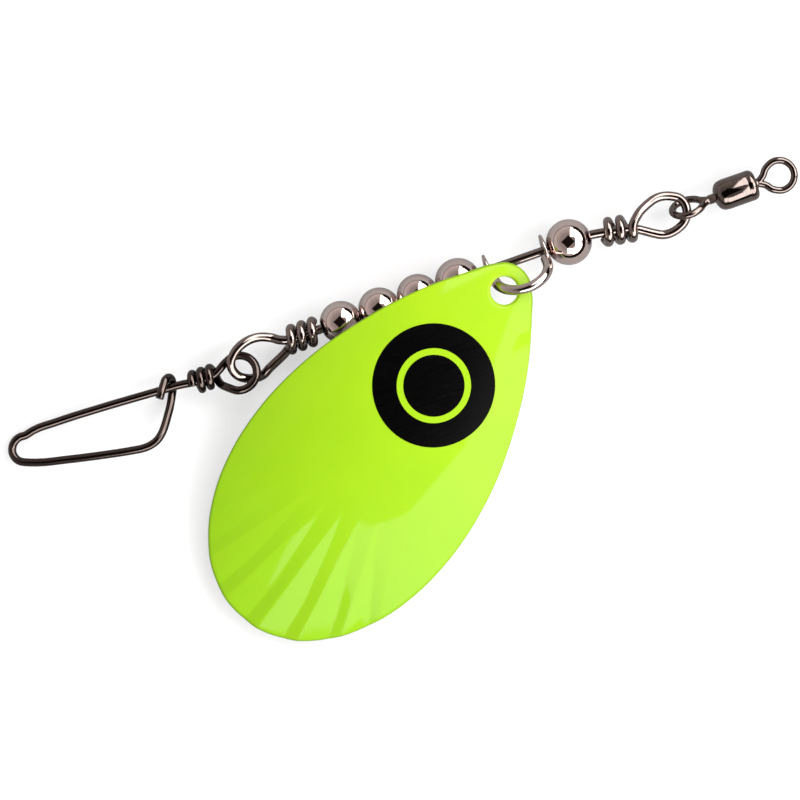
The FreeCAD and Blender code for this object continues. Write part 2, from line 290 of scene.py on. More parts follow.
def softened_end(rings, direction):
    """Rings that round off the first (1) or last (-1) ring of a tube."""
    point, tangent, axis, ring_r, along = rings[0 if direction == 1 else -1]
    edge = ring_r * CUT_SOFTNESS
    soft = []
    for inset in (0.0, 0.12, 0.4, 1.0):
        shrink = edge * (1 - math.sqrt(1 - (1 - inset) ** 2))
        soft.append((point + tangent * (direction * edge * inset), tangent, axis, ring_r - shrink, along))
    return soft if direction == 1 else soft[::-1]


# ---- wire routes, the same bends as in the CAD model ----
def coil(x_start, pitch, radius, first_deg, last_deg, step_deg=45.0):
    """Points of a coil round the local X axis that advances towards -X."""
    count = round(abs(last_deg - first_deg) / step_deg)
    points = []
    for i in range(count + 1):
        turn = first_deg + (last_deg - first_deg) * i / count
        angle = math.radians(turn)
        x = x_start - pitch * (turn - first_deg) / 360.0
        points.append(Vector((x, radius * math.cos(angle), radius * math.sin(angle))))
    return points


UPPER_BEND_X = -21.7
UPPER_BEND_SLOPE = 0.17
WRAP_R = 1.15


def upper_core_y(x):
    """Sideways place of the core beside the upper wraps, where it bends away from the axis."""
    return -UPPER_BEND_SLOPE * (x - UPPER_BEND_X)


def upper_loop_route():
    """From the cut end, through the wraps and round the loop, back to the core."""
    wraps = [p + Vector((0, upper_core_y(p.x), 0)) for p in coil(-17.0, 1.3, WRAP_R, 90, 960)]
    loop = [
        (-16.05, 0.28, 0.98),
        (-14.75, 1.0, 0.55),
        (-13.35, 1.37, 0.2),
        (-12.1, 1.15, -0.05),
        (-10.95, 0.35, -0.14),
        (-10.72, -0.8, -0.18),
        (-11.3, -1.95, -0.14),
        (-12.5, -2.6, -0.05),
        (-13.9, -2.68, 0),
        (-15.2, -2.02, 0),
        (-16.3, -1.27, 0),
    ]
    core = [(x, upper_core_y(x), 0) for x in (-17.4, -18.6, -19.9, -21.1)]
    core += [(-22.3, 0, 0), (-23.8, 0, 0)]
    return wraps[::-1] + [Vector(p) for p in loop + core]


def lower_loop_route():
    """From the core round the tilted loop and back into the wraps, to the cut end."""
    core = [Vector((x, 0, 0)) for x in (-50.0, -54.0, -56.2)]
    flat_loop = [
        (-57.1, 0.33),
        (-58.0, 0.92),
        (-59.3, 1.4),
        (-60.9, 1.3),
        (-62.25, 0.6),
        (-63.0, -0.4),
        (-62.85, -1.6),
        (-61.8, -2.45),
        (-60.4, -2.65),
        (-58.9, -2.0),
    ]
    slope = math.tan(math.radians(28.0))
    loop = []
    for x, y in flat_loop:
        rise = (y + 1.2) * 0.81 - (x + 62.3) * 0.58
        loop.append(Vector((x, y, rise * slope * min(1.0, (-57.0 - x) / 2.8))))
    return core + loop + [Vector((-57.4, -1.33, -0.95))] + coil(-56.35, 1.2, WRAP_R, -135, -1110)


def shaft_route():
    offset = Vector((0, SHAFT_Y, SHAFT_Z))
    return [p + offset for p in upper_loop_route() + lower_loop_route()]


SNAP_PIVOT = Vector((-62.5, -0.87, 0.0))
SNAP_LIFT = Vector((0, 0, 0.35))
SNAP_ROLL = math.radians(-16.0)
SNAP_DROOP = math.radians(-3.4)
SNAP_BEND = Vector((-87.3, -0.95, 0.0))
SNAP_BEND_R = 1.5
SNAP_FLEX_DEG = (90, 250)
SNAP_FLEX_REACH = (1.04, 0.95)
SNAP_JOIN_GAP = 0.001


def placed_snap(points):
    turn = Matrix.Rotation(SNAP_DROOP, 3, "Y") @ Matrix.Rotation(SNAP_ROLL, 3, "X")
    return [turn @ (Vector(p) - SNAP_PIVOT) + SNAP_PIVOT + SNAP_LIFT for p in points]


def widened(points):
    """Points of the flat snap that land at their Y once the snap is rolled."""
    middle = SNAP_PIVOT.y
    return [Vector((x, middle + (y - middle) / math.cos(SNAP_ROLL), z)) for x, y, z in points]


def snap_routes():
    """The standing side and the gate side of the snap; they meet at the middle of the far bend."""
    core_y = -0.2
    wraps = [p + Vector((0, core_y, 0)) for p in coil(-65.0, 1.0, 0.97, 235, 1205)][::-1]
    eye = []
    for turn in (220, 250, 290, 330, 10, 50, 90, 125):
        angle = math.radians(turn)
        eye.append(SNAP_PIVOT + Vector((math.cos(angle), math.sin(angle), 0)) * 1.96)
    core = [(-64.4, core_y + 0.44, 0), (-65.15, core_y + 0.07, 0), (-65.9, core_y, 0), (-67.2, core_y, 0)]
    leg = [(-68.7, 0.0, 0), (-72.2, 0.22, 0), (-77.6, 0.52, 0), (-83.0, 0.7, 0), (-86.0, 0.66, 0)]
    standing = wraps + eye + [Vector(p) for p in core] + widened(leg) + bend_points(76, 180)
    gate_leg = [
        (-86.6, -2.76, 0),
        (-83.0, -3.63, 0),
        (-78.7, -4.53, 0),
        (-76.0, -5.02, 0),
        (-74.9, -5.16, 0),
        (-74.0, -5.1, 0),
        (-73.2, -4.8, -0.05),
        (-72.6, -4.32, -0.15),
        (-72.1, -3.68, -0.3),
        (-71.5, -2.65, -0.62),
        (-70.95, -1.65, -0.9),
        (-70.4, -0.55, -0.98),
        (-70.0, 0.35, -0.94),
        (-69.8, 0.98, -0.43),
        (-69.9, 1.14, 0.2),
        (-70.25, 0.87, 0.82),
        (-70.75, 0.13, 1.08),
        (-71.5, -0.98, 1.12),
    ]
    gate = bend_points(180, 250) + widened(gate_leg)
    return placed_snap(standing), placed_snap(gate)


def bend_point(turn_deg):
    angle = math.radians(turn_deg)
    return SNAP_BEND + Vector((math.cos(angle), math.sin(angle), 0)) * SNAP_BEND_R


def bend_points(first_deg, last_deg):
    return [bend_point(first_deg + (last_deg - first_deg) * i / 4) for i in range(5)]


# ---- blade surface, in the blade's own frame: t from the tip, w across, h up ----
RIM_COUNT = 720
RIM_STEP = 0.03
RIM_TURN_WEIGHT = 4.0
BLADE_ROWS = 165
HOLE_STEPS = (0.0, 0.03, 0.08, 0.16, 0.28)
RIM_STEPS = (0.0, 0.02, 0.06, 0.13, 0.23, 0.36)
EDGE_R = 0.36
SPOT_SEGMENTS = 160
SPOT_SOFT = 0.05
SPOT_BACK_LIFT = 0.002
SPOT_EDGE_LIFT = 0.004
SPOT_LIFT = 0.04

# Flutes: turns are in degrees from the blade's long axis, as seen from the focus.
FLUTE_FOCUS_T = 20.2
FLUTE_START = 11.6
FLUTE_PERIOD = 9.5
FLUTE_RIDGE = 2.2
FLUTE_SPREAD = 0.23
FLUTE_SLOPE = 0.13
FLUTE_FOLD_R = 0.08
FLUTE_LEFT = (-38.0, 2.0)
FLUTE_RIGHT = (25.0, 34.0)
FLUTE_SCALLOP = 0.12
FLUTE_BROADEST = 0.68


def ramp(value, low, high):
    share = min(1.0, max(0.0, (value - low) / (high - low)))
    return share * share * (3 - 2 * share)


def flute_height(t, w):
    """Pressed folds that fan out from the focus: each has a broad side that opens from its apex
    and a narrow steep side, with the folds a little rounded."""
    distance = math.hypot(w, t - FLUTE_FOCUS_T)
    if t < FLUTE_FOCUS_T or distance < FLUTE_START + 0.05:
        return 0.0
    turn = math.degrees(math.atan2(w, t - FLUTE_FOCUS_T))
    pitch = distance * math.radians(FLUTE_PERIOD)
    broad = min(FLUTE_BROADEST, FLUTE_SPREAD * (distance - FLUTE_START) / pitch)
    drop = 0.0
    for nudge in (-1.0, -0.5, 0.0, 0.5, 1.0):
        phase = ((turn - FLUTE_RIDGE) / FLUTE_PERIOD + nudge * FLUTE_FOLD_R / pitch) % 1.0
        drop += 0.2 * (phase / broad if phase < broad else (1 - phase) / (1 - broad))
    share = ramp(turn, *FLUTE_LEFT) * (1 - ramp(turn, *FLUTE_RIGHT))
    return -drop * share * FLUTE_SLOPE * broad * pitch


def dome_height(t, w, offset=0.0):
    across = math.sqrt((BLADE_ACROSS_R + offset) ** 2 - w * w)
    reach = BLADE_ALONG_R - BLADE_ACROSS_R + across
    return math.sqrt(reach * reach - (t - BLADE_CROWN_T) ** 2) - BLADE_ALONG_R


def blade_height(t, w, offset=0.0):
    return dome_height(t, w, offset) + flute_height(t, w)


def blade_matrix():
    """From the blade's own frame to where it lies in the clevis."""
    height = dome_height(BLADE_HOLE_T, 0)
    slope = Vector((BLADE_HOLE_T - BLADE_CROWN_T, 0, height + BLADE_ALONG_R)).normalized()
    middle = Vector((BLADE_HOLE_T, 0, height)) - slope * (BLADE_THICK / 2)
    roll = Matrix.Rotation(math.radians(BLADE_ROLL), 4, "X")
    azimuth = Matrix.Rotation(math.radians(BLADE_AZIMUTH), 4, "Z")
    return Matrix.Translation(BLADE_HOLE) @ roll @ azimuth @ Matrix.Translation(-middle)


def half_outline():
    points = []
    for i in range(3):
        turn = math.radians(BLADE_TIP_TURN * i / 2)
        points.append((BLADE_TIP_R * (1 - math.cos(turn)), BLADE_TIP_R * math.sin(turn)))
    points += BLADE_SIDE
    power = 2 / BLADE_END_FULLNESS
    for i in range(7):
        turn = math.radians(90 - 15 * i)
        t = BLADE_WIDEST_T + (BLADE_LENGTH - BLADE_WIDEST_T) * abs(math.cos(turn)) ** power
        points.append((t, BLADE_HALF_WIDTH * max(0.0, math.sin(turn)) ** power))
    return points


def blade_outline(count):
    """Points round the rim as seen from the hole, denser where the rim is close to it."""
    half = half_outline()
    around = [Vector((t, w, 0)) for t, w in half] + [Vector((t, -w, 0)) for t, w in half[-2:0:-1]]
    path = wire_path(around[-3:] + around + around[:3], RIM_STEP)
    start = min(range(len(path)), key=lambda i: (path[i] - around[0]).length)
    stop = max(i for i in range(len(path)) if (path[i] - around[0]).length < 1e-4)
    path = path[start:stop]
    hole = Vector((BLADE_HOLE_T, 0, 0))
    measure = [0.0]
    for i in range(len(path)):
        a = path[i] - hole
        b = path[(i + 1) % len(path)] - hole
        measure.append(measure[-1] + (b - a).length + a.angle(b) * RIM_TURN_WEIGHT)
    rim = []
    i = 0
    for k in range(count):
        wanted = measure[-1] * k / count
        while measure[i + 1] < wanted:
            i += 1
        share = (wanted - measure[i]) / (measure[i + 1] - measure[i])
        rim.append(path[i].lerp(path[(i + 1) % len(path)], share))
    return rim


def edge_drop(distance):
    """How far the sheet's face falls at this distance from its rounded edge."""
    if distance >= EDGE_R:
        return 0.0
    return EDGE_R - math.sqrt(max(0.0, EDGE_R * EDGE_R - (EDGE_R - distance) ** 2))


def blade_stations(reach):
    """Distances from the hole's middle to the points of a column, close together at both edges."""
    inner = BLADE_HOLE_R + HOLE_STEPS[-1]
    outer = reach - RIM_STEPS[-1]
    stations = [BLADE_HOLE_R + step for step in HOLE_STEPS]
    stations += [inner + (outer - inner) * (k + 1) / BLADE_ROWS for k in range(BLADE_ROWS)]
    return stations + [reach - step for step in reversed(RIM_STEPS[:-1])]


def blade_columns():
    """Columns of points from the hole to the rim, on both faces, with t, w and the rim distance."""
    hole = Vector((BLADE_HOLE_T, 0, 0))
    top = []
    bottom = []
    coords = []
    for point in blade_outline(RIM_COUNT):
        out = point - hole
        reach = out.length + flute_height(point.x, point.y) * FLUTE_SCALLOP
        out.normalize()
        column_top = []
        column_bottom = []
        for station in blade_stations(reach):
            t, w, _ = hole + out * station
            drop = edge_drop(station - BLADE_HOLE_R) + edge_drop(reach - station)
            column_top.append(Vector((t, w, blade_height(t, w) - drop)))
            column_bottom.append(Vector((t, w, blade_height(t, w, -BLADE_THICK) + drop)))
            coords.append((t, w, reach - station))
        top.append(column_top)
        bottom.append(column_bottom)
    return top, bottom, coords


def blade_piece(paint, bare):
    """Pressed sheet with a rolled rim and a bevelled hole: painted face and edges, bare inside."""
    top, bottom, coords = blade_columns()
    matrix = blade_matrix()
    per = len(top[0])
    verts = [matrix @ point for column in top + bottom for point in column]
    faces = []
    back_start = RIM_COUNT * per
    for i in range(RIM_COUNT):
        a = i * per
        b = ((i + 1) % RIM_COUNT) * per
        for j in range(per - 1):
            faces.append((a + j, a + j + 1, b + j + 1, b + j))
            c, d = back_start + a + j, back_start + b + j
            faces.append((c, d, d + 1, c + 1))
        c, d = back_start + a, back_start + b
        faces.append((a + per - 1, c + per - 1, d + per - 1, b + per - 1))
        faces.append((a, b, d, c))
    piece = make_piece("fluted_blade", [(verts, faces, coords + coords)])
    piece.data.materials.append(paint)
    piece.data.materials.append(bare)
    around = 2 * (per - 1)
    for index, polygon in enumerate(piece.data.polygons):
        j = index % (around + 2)
        row = j // 2
        on_back = j < around and j % 2 == 1
        inside = on_back and len(HOLE_STEPS) < row < per - len(RIM_STEPS) - 1
        polygon.material_index = 1 if inside else 0
    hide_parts("blade")
    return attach(piece, "blade")


def spot_layers(inner, outer):
    """Radii and lifts of a thin printed layer: its lifted top with soft edges, then its flat back."""
    radii = [inner + (outer - inner) * k / 24 for k in range(25)]
    if inner > 0:
        radii = [inner, inner + SPOT_SOFT * 0.3, inner + SPOT_SOFT] + radii[1:]
    else:
        radii = radii[1:]
    radii = radii[:-1] + [outer - SPOT_SOFT, outer - SPOT_SOFT * 0.3, outer]
    layers = []
    for r in radii:
        side = min(outer - r, r - inner if inner > 0 else SPOT_SOFT)
        share = min(1.0, max(0.0, side) / SPOT_SOFT)
        rise = math.sqrt(1 - (1 - share) ** 2)
        layers.append((r, SPOT_EDGE_LIFT + (SPOT_LIFT - SPOT_EDGE_LIFT) * rise))
    return layers + [(r, SPOT_BACK_LIFT) for r in reversed(radii)]


def spot_layer(inner, outer, matrix):
    """Closed layer of print between two radii round the spot's middle."""
    layers = spot_layers(inner, outer)
    count = len(layers)
    verts = []
    coords = []
    faces = []
    for k in range(SPOT_SEGMENTS):
        angle = 2 * math.pi * k / SPOT_SEGMENTS
        for r, lift in layers:
            t = SPOT_T + r * math.cos(angle)
            w = r * math.sin(angle)
            verts.append(matrix @ Vector((t, w, blade_height(t, w) + lift)))
            coords.append((t, w, 0.0))
        a = k * count
        b = ((k + 1) % SPOT_SEGMENTS) * count
        for j in range(count if inner > 0 else count - 1):
            n = (j + 1) % count
            faces.append((a + j, a + n, b + n, b + j))
    if inner == 0:
        centre = len(verts)
        for lift in (SPOT_LIFT, SPOT_BACK_LIFT):
            verts.append(matrix @ Vector((SPOT_T, 0, blade_height(SPOT_T, 0) + lift)))
            coords.append((SPOT_T, 0.0, 0.0))
        for k in range(SPOT_SEGMENTS):
            a = k * count
            b = ((k + 1) % SPOT_SEGMENTS) * count
            faces.append((centre, a, b))
            faces.append((centre + 1, b + count - 1, a + count - 1))
    return verts, faces, coords


def spot_piece(ink):
    """Printed fish-eye: a dark disc and a dark ring, each a thin closed layer on the blade."""
    matrix = blade_matrix()
    parts = [spot_layer(inner, outer, matrix) for inner, outer in SPOT_PRINT]
    piece = make_piece("eye_spot_print", parts)
    return place_piece(piece, "blade", ["blade_spot"], ink)


# ---- turned pieces ----
def bead_profile(radius):
    """Ball with a drilled hole: small flats at the mouths and a softened hole edge."""
    flat_r = 0.72
    start = math.degrees(math.asin(flat_r / radius))
    outer = arc_profile((0.0, 0.0), radius, start, 180 - start, 56)
    mouth = outer[0][0]
    chamfer = 0.06
    right = [(mouth - 0.9, HOLE_R), (mouth - chamfer, HOLE_R), (mouth, HOLE_R + chamfer)]
    left = [(-along, r) for along, r in reversed(right)]
    return right + outer + left


def bead_piece(node, material):
    low, high = (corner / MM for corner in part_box(node))
    centre = (low + high) / 2
    radius = (high.y - low.y) / 2
    piece = make_piece(node + "_ball", [lathe(bead_profile(radius), 72, centre)])
    return place_piece(piece, node, [node], material)


def barrel_piece(material):
    """Drawn drum: a rolled lip at the line end, a longer dome with a crimp step at the shaft end."""
    low, high = (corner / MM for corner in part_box("swivel_barrel"))
    right, left = high.x, low.x
    radius = (high.z - low.z) / 2
    wall = 0.5
    profile = [
        (right - 0.6, BARREL_STEM_HOLE_R),
        (right - 0.08, BARREL_STEM_HOLE_R),
        (right, BARREL_STEM_HOLE_R + 0.08),
        (right, 0.86),
        (right - 0.03, 0.96),
    ]
    profile += arc_profile((right - 0.62, radius - 0.66), 0.66, 22, 90, 10)
    profile += [
        (right - 0.86, radius),
        (right - 0.92, radius - 0.03),
        (right - 0.98, radius),
        (left + 1.2, radius),
        (left + 1.1, radius - 0.01),
    ]
    profile += arc_profile((left + 0.98, radius - 0.98), 0.94, 90, 160, 12)
    profile += [
        (left, 0.8),
        (left, BARREL_STEM_HOLE_R + 0.08),
        (left + 0.08, BARREL_STEM_HOLE_R),
        (left + 0.6, BARREL_STEM_HOLE_R),
        (left + 0.6, radius - wall),
        (right - 0.6, radius - wall),
    ]
    piece = make_piece("barrel_drum", [lathe(profile, 72, Vector((0, 0, 0)))])
    return place_piece(piece, "barrel", ["swivel_barrel"], material)


def pear_eye_route():
    """Eye wire in its own frame: two legs side by side and a round eye between their ends."""
    eye = []
    for turn in (-130, -90, -45, 0, 45, 90, 130):
        angle = math.radians(turn)
        eye.append(Vector((EYE_R * math.cos(angle), EYE_R * math.sin(angle), 0)))
    upper = [Vector((-1.85, 0.42, 0)), Vector((-2.35, 0.14, 0)), Vector((-2.9, 0.13, 0))]
    lower = [Vector((p.x, -p.y, 0)) for p in reversed(upper)]
    return lower + eye + upper


def swivel_eye_piece(name, node, body, origin, turn, head_x, material):
    """Eye, neck and the headed stem; head_x is where the head starts, in the eye's own frame."""
    eye = tube(wire_path(pear_eye_route()), EYE_WIRE_R)
    stem = lathe(stem_profile(head_x), 40, Vector((0, 0, 0)))
    parts = []
    for verts, faces, grain in (eye, stem):
        parts.append(([turn @ v + origin for v in verts], faces, grain))
    return place_piece(make_piece(name, parts), body, [node], material)


def stem_profile(head_x):
    neck = -2.42
    core = 0.01
    head_end = head_x - 0.78
    return [
        (neck, core),
        (neck, EYE_STEM_R * 0.8),
        (neck - 0.1, EYE_STEM_R),
        (head_x, EYE_STEM_R),
        (head_x, EYE_HEAD_R - 0.1),
        (head_x - 0.1, EYE_HEAD_R),
        (head_end + 0.1, EYE_HEAD_R),
        (head_end, EYE_HEAD_R - 0.1),
        (head_end, core),
    ]


# ---- clevis ----
CLEVIS_EARS = (-26.76, -33.3)
CLEVIS_EAR_THICK = 0.55
CLEVIS_EAR_R = 1.8
CLEVIS_WIRE_R = 0.55
CLEVIS_REACH = 5.1
CLEVIS_LEAN = math.radians(50.0)


def clevis_route():
    """Bow of the clevis from ear to ear."""
    upper_x, lower_x = CLEVIS_EARS
    depth = Vector((0, -math.cos(CLEVIS_LEAN), math.sin(CLEVIS_LEAN)))
    middle = Vector(((upper_x + lower_x) / 2, SHAFT_Y, SHAFT_Z))
    half = (upper_x - lower_x) / 2 - (2 * CLEVIS_WIRE_R - CLEVIS_EAR_THICK) / 2
    straight = CLEVIS_REACH - half
    start = CLEVIS_WIRE_R + HOLE_R + 0.12
    points = [
        middle + X_AXIS * half + depth * start,
        middle + X_AXIS * half + depth * (start + straight) * 0.5,
        middle + X_AXIS * half + depth * straight,
    ]
    for k in range(1, 9):
        angle = math.radians(22.5 * k)
        across = X_AXIS * (half * math.cos(angle))
        points.append(middle + across + depth * (straight + half * math.sin(angle)))
    points += [
        middle - X_AXIS * half + depth * (start + straight) * 0.5,
        middle - X_AXIS * half + depth * start,
    ]
    return points


def clevis_piece(material):
    parts = [tube(wire_path(clevis_route()), CLEVIS_WIRE_R)]
    hub = CLEVIS_EAR_THICK / 2
    rim = 0.16
    profile = [
        (-hub, HOLE_R + 0.05),
        (-hub + 0.05, HOLE_R),
        (hub - 0.05, HOLE_R),
        (hub, HOLE_R + 0.05),
        (hub, 1.0),
        (rim + 0.03, 1.55),
        (rim, CLEVIS_EAR_R - 0.08),
        (rim * 0.5, CLEVIS_EAR_R),
        (-rim * 0.5, CLEVIS_EAR_R),
        (-rim, CLEVIS_EAR_R - 0.08),
        (-rim - 0.03, 1.55),
        (-hub, 1.0),
    ]
    for x in CLEVIS_EARS:
        parts.append(lathe(profile, 56, Vector((x, SHAFT_Y, SHAFT_Z))))
    return place_piece(make_piece("clevis_stirrup", parts), "clevis", ["clevis"], material)


def shaft_piece(material):
    piece = make_piece("looped_shaft", [tube(wire_path(shaft_route()), SHAFT_R)])
    return place_piece(piece, "shaft", ["shaft_wire"], material)


def nearest_ring(rings, point):
    return min(range(len(rings)), key=lambda i: (rings[i][0] - point).length)


def snap_pieces(material):
    """One spring wire in three lengths: the standing side, the far bend, and the gate side."""
    standing, gate = snap_routes()
    rings = tube_rings(wire_path(standing) + wire_path(gate)[1:], SNAP_WIRE_R)
    first, last = (nearest_ring(rings, p) for p in placed_snap(map(bend_point, SNAP_FLEX_DEG)))
    bend = rings[first:last + 1]
    for i, side in ((0, 1), (-1, -1)):
        point, tangent, *rest = bend[i]
        bend[i] = (point + tangent * (SNAP_JOIN_GAP * side), tangent, *rest)
    standing_side = make_piece("snap_standing_wire", [skin(rings[:first + 1], closed=(True, False))])
    place_piece(standing_side, "snap", ["snap_wire"], material)
    gate_side = make_piece("snap_gate_wire", [skin(rings[last:], closed=(False, True))])
    place_piece(gate_side, "snap_gate", ["snap_gate"], material)
    far_bend = make_piece("snap_far_bend", [skin(bend, closed=(False, False))])
    place_piece(far_bend, None, [], material)
    before, after = SNAP_FLEX_REACH
    turn = placed_snap([SNAP_BEND + Y_AXIS * before, SNAP_BEND - Y_AXIS * after])
    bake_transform(far_bend)


# ---- materials ----
def new_material(name):
    material = bpy.data.materials.new(name)
    material.use_nodes = True
    nodes = material.node_tree.nodes
    return material, nodes, material.node_tree.links, nodes["Principled BSDF"]


def add_node(nodes, kind, **values):
    node = nodes.new(kind)
    for key, value in values.items():
        setattr(node, key, value)
    return node


def noise(nodes, links, coords, scale, detail=4.0, rough=0.55):
    node = add_node(nodes, "ShaderNodeTexNoise")
    node.inputs["Scale"].default_value = scale
    node.inputs["Detail"].default_value = detail
    node.inputs["Roughness"].default_value = rough
    links.new(coords, node.inputs["Vector"])
    return node.outputs["Fac"]


def mapped(nodes, links, value, low, high, out_low, out_high):
    node = add_node(nodes, "ShaderNodeMapRange")
    for key, number in (("From Min", low), ("From Max", high), ("To Min", out_low), ("To Max", out_high)):
        node.inputs[key].default_value = number
    links.new(value, node.inputs["Value"])
    return node.outputs["Result"]


def mixed(nodes, links, share, first, second):
    """Colour between the first and the second, each a colour or a socket."""
    node = add_node(nodes, "ShaderNodeMix", data_type="RGBA")
    links.new(share, node.inputs["Factor"])
    for socket, value in ((node.inputs["A"], first), (node.inputs["B"], second)):
        if isinstance(value, tuple):
            socket.default_value = (*value, 1.0)
        else:
            links.new(value, socket)
    return node.outputs["Result"]


def combined(nodes, links, operation, first, second):
    node = add_node(nodes, "ShaderNodeMath", operation=operation)
    links.new(first, node.inputs[0])
    links.new(second, node.inputs[1])
    return node.outputs[0]


def bump(nodes, links, height, strength, distance, under=None):
    node = add_node(nodes, "ShaderNodeBump")
    node.inputs["Strength"].default_value = strength
    node.inputs["Distance"].default_value = distance
    links.new(height, node.inputs["Height"])
    if under:
        links.new(under, node.inputs["Normal"])
    return node.outputs["Normal"]


def plated_metal(name, light, dark, roughness, streaks, spots=0.25):
    """Plated wire or turned metal: streaks along the grain, cloudy tint, fine pits."""
    material, nodes, links, shader = new_material(name)
    grain = add_node(nodes, "ShaderNodeAttribute", attribute_name="grain").outputs["Vector"]
    place = add_node(nodes, "ShaderNodeTexCoord").outputs["Object"]
    streak = noise(nodes, links, grain, 3.0, 6.0, 0.7)
    cloud = noise(nodes, links, place, 900.0, 3.0)
    pits = noise(nodes, links, place, 9000.0, 2.0)
    tint = mixed(nodes, links, mapped(nodes, links, streak, 0.25, 0.75, 0.0, 1.0), dark, light)
    shade = mapped(nodes, links, cloud, 0.35, 0.65, 0.0, spots)
    color = mixed(nodes, links, shade, tint, dark)
    links.new(color, shader.inputs["Base Color"])
    shader.inputs["Metallic"].default_value = 1.0
    uneven = mapped(nodes, links, cloud, 0.3, 0.7, roughness * 0.7, roughness * 1.4)
    links.new(uneven, shader.inputs["Roughness"])
    coarse = bump(nodes, links, streak, streaks, 0.00002)
    links.new(bump(nodes, links, pits, streaks * 0.5, 0.00001, coarse), shader.inputs["Normal"])
    return material


def chartreuse_paint():
    """Fluorescent gloss enamel over metal: faint orange peel, with painted shade darkening it in a band
    towards the rim.
    """
    material, nodes, links, shader = new_material("chartreuse_enamel")
    place = add_node(nodes, "ShaderNodeTexCoord").outputs["Object"]
    local = add_node(nodes, "ShaderNodeAttribute", attribute_name="grain").outputs["Vector"]
    split = add_node(nodes, "ShaderNodeSeparateXYZ")
    links.new(local, split.inputs["Vector"])
    # Painted light: the enamel is painted lighter near the tip and darker towards the wide end, standing in
    # for the light that falls more strongly on the tip.
    tip_light_fade = mapped(nodes, links, split.outputs["X"], 6.0, 40.0, 0.0, 1.0)
    cloud = noise(nodes, links, place, 160.0, 3.0)
    speck = noise(nodes, links, place, 6500.0, 2.0)
    base = mixed(nodes, links, tip_light_fade, (0.188, 0.305, 0.0068), (0.143, 0.283, 0.0060))
    dull = mapped(nodes, links, cloud, 0.3, 0.7, 0.0, 0.35)
    base = mixed(nodes, links, dull, base, (0.132, 0.262, 0.0055))
    base = mixed(nodes, links, mapped(nodes, links, speck, 0.55, 0.8, 0.0, 0.35), base, (0.19, 0.31, 0.014))
    # Painted shade: darker rays fanning out from the flutes' focus towards the wide end stand in for the
    # light and shade on faint pressed ridges.
    from_focus = mapped(nodes, links, split.outputs["X"], FLUTE_FOCUS_T, FLUTE_FOCUS_T + 30.0, 0.0, 30.0)
    fan = add_node(nodes, "ShaderNodeCombineXYZ")
    links.new(combined(nodes, links, "ARCTAN2", split.outputs["Y"], from_focus), fan.inputs["X"])
    fan_shade_rays = mapped(nodes, links, noise(nodes, links, fan.outputs[0], 9.0, 3.0), 0.4, 0.7, 0.0, 1.0)
    inside = mapped(nodes, links, split.outputs["X"], 22.0, 27.0, 0.0, 0.3)
    fan_shade_share = combined(nodes, links, "MULTIPLY", fan_shade_rays, inside)
    base = mixed(nodes, links, fan_shade_share, base, (0.165, 0.275, 0.0050))
    # Painted shade: a thin band along the rim is painted darker, standing in for the shadowed edge.
    edge = mapped(nodes, links, split.outputs["Z"], 0.08, 0.26, 0.65, 0.0)
    base = mixed(nodes, links, edge, base, (0.075, 0.15, 0.006))
    links.new(base, shader.inputs["Base Color"])
    # The emission is partly the enamel's fluorescence and partly painted light: the enamel glows with its
    # own colour so that its shaded side comes out lighter.
    links.new(base, shader.inputs["Emission Color"])
    shader.inputs["Emission Strength"].default_value = 0.9
    shader.inputs["Roughness"].default_value = 0.5
    shader.inputs["Specular IOR Level"].default_value = 0.03
    shader.inputs["Coat Weight"].default_value = 0.22
    shader.inputs["Coat Roughness"].default_value = 0.03
    peel = noise(nodes, links, place, 1500.0, 2.0)
    links.new(bump(nodes, links, speck, 0.12, 0.00003), shader.inputs["Normal"])
    links.new(bump(nodes, links, peel, 0.05, 0.00003), shader.inputs["Coat Normal"])
    return material


def spot_ink():
    """Glossy black print with fine scuffs and dust."""
    material, nodes, links, shader = new_material("black_print")
    place = add_node(nodes, "ShaderNodeTexCoord").outputs["Object"]
    stretch = add_node(nodes, "ShaderNodeMapping")
    stretch.inputs["Rotation"].default_value = (0.0, 0.0, 0.6)
    stretch.inputs["Scale"].default_value = (1.0, 14.0, 1.0)
    links.new(place, stretch.inputs["Vector"])
    scuff = noise(nodes, links, stretch.outputs["Vector"], 420.0, 6.0, 0.8)
    dust = noise(nodes, links, place, 5200.0, 3.0)
    worn = mapped(nodes, links, scuff, 0.62, 0.8, 0.0, 0.4)
    color = mixed(nodes, links, worn, (0.0010, 0.0009, 0.0009), (0.004, 0.004, 0.003))
    dusty = mapped(nodes, links, dust, 0.66, 0.8, 0.0, 0.5)
    color = mixed(nodes, links, dusty, color, (0.02, 0.024, 0.012))
    links.new(color, shader.inputs["Base Color"])
    links.new(mapped(nodes, links, scuff, 0.4, 0.75, 0.22, 0.5), shader.inputs["Roughness"])
    shader.inputs["Specular IOR Level"].default_value = 0.03
    links.new(bump(nodes, links, dust, 0.08, 0.00002), shader.inputs["Normal"])
    return material


def floor_material():
    material, nodes, links, shader = new_material("pale_floor")
    place = add_node(nodes, "ShaderNodeTexCoord").outputs["Object"]
    cloud = noise(nodes, links, place, 40.0, 3.0)
    color = mixed(nodes, links, cloud, (0.28, 0.28, 0.28), (0.31, 0.31, 0.31))
    links.new(color, shader.inputs["Base Color"])
    shader.inputs["Roughness"].default_value = 0.9
    shader.inputs["Specular IOR Level"].default_value = 0.0
    shader.inputs["Emission Color"].default_value = (1.0, 1.0, 1.0, 1.0)
    path = add_node(nodes, "ShaderNodeLightPath")
    glow = mapped(nodes, links, path.outputs["Is Camera Ray"], 0.0, 1.0, 0.02, 0.6)
    links.new(glow, shader.inputs["Emission Strength"])
    return material


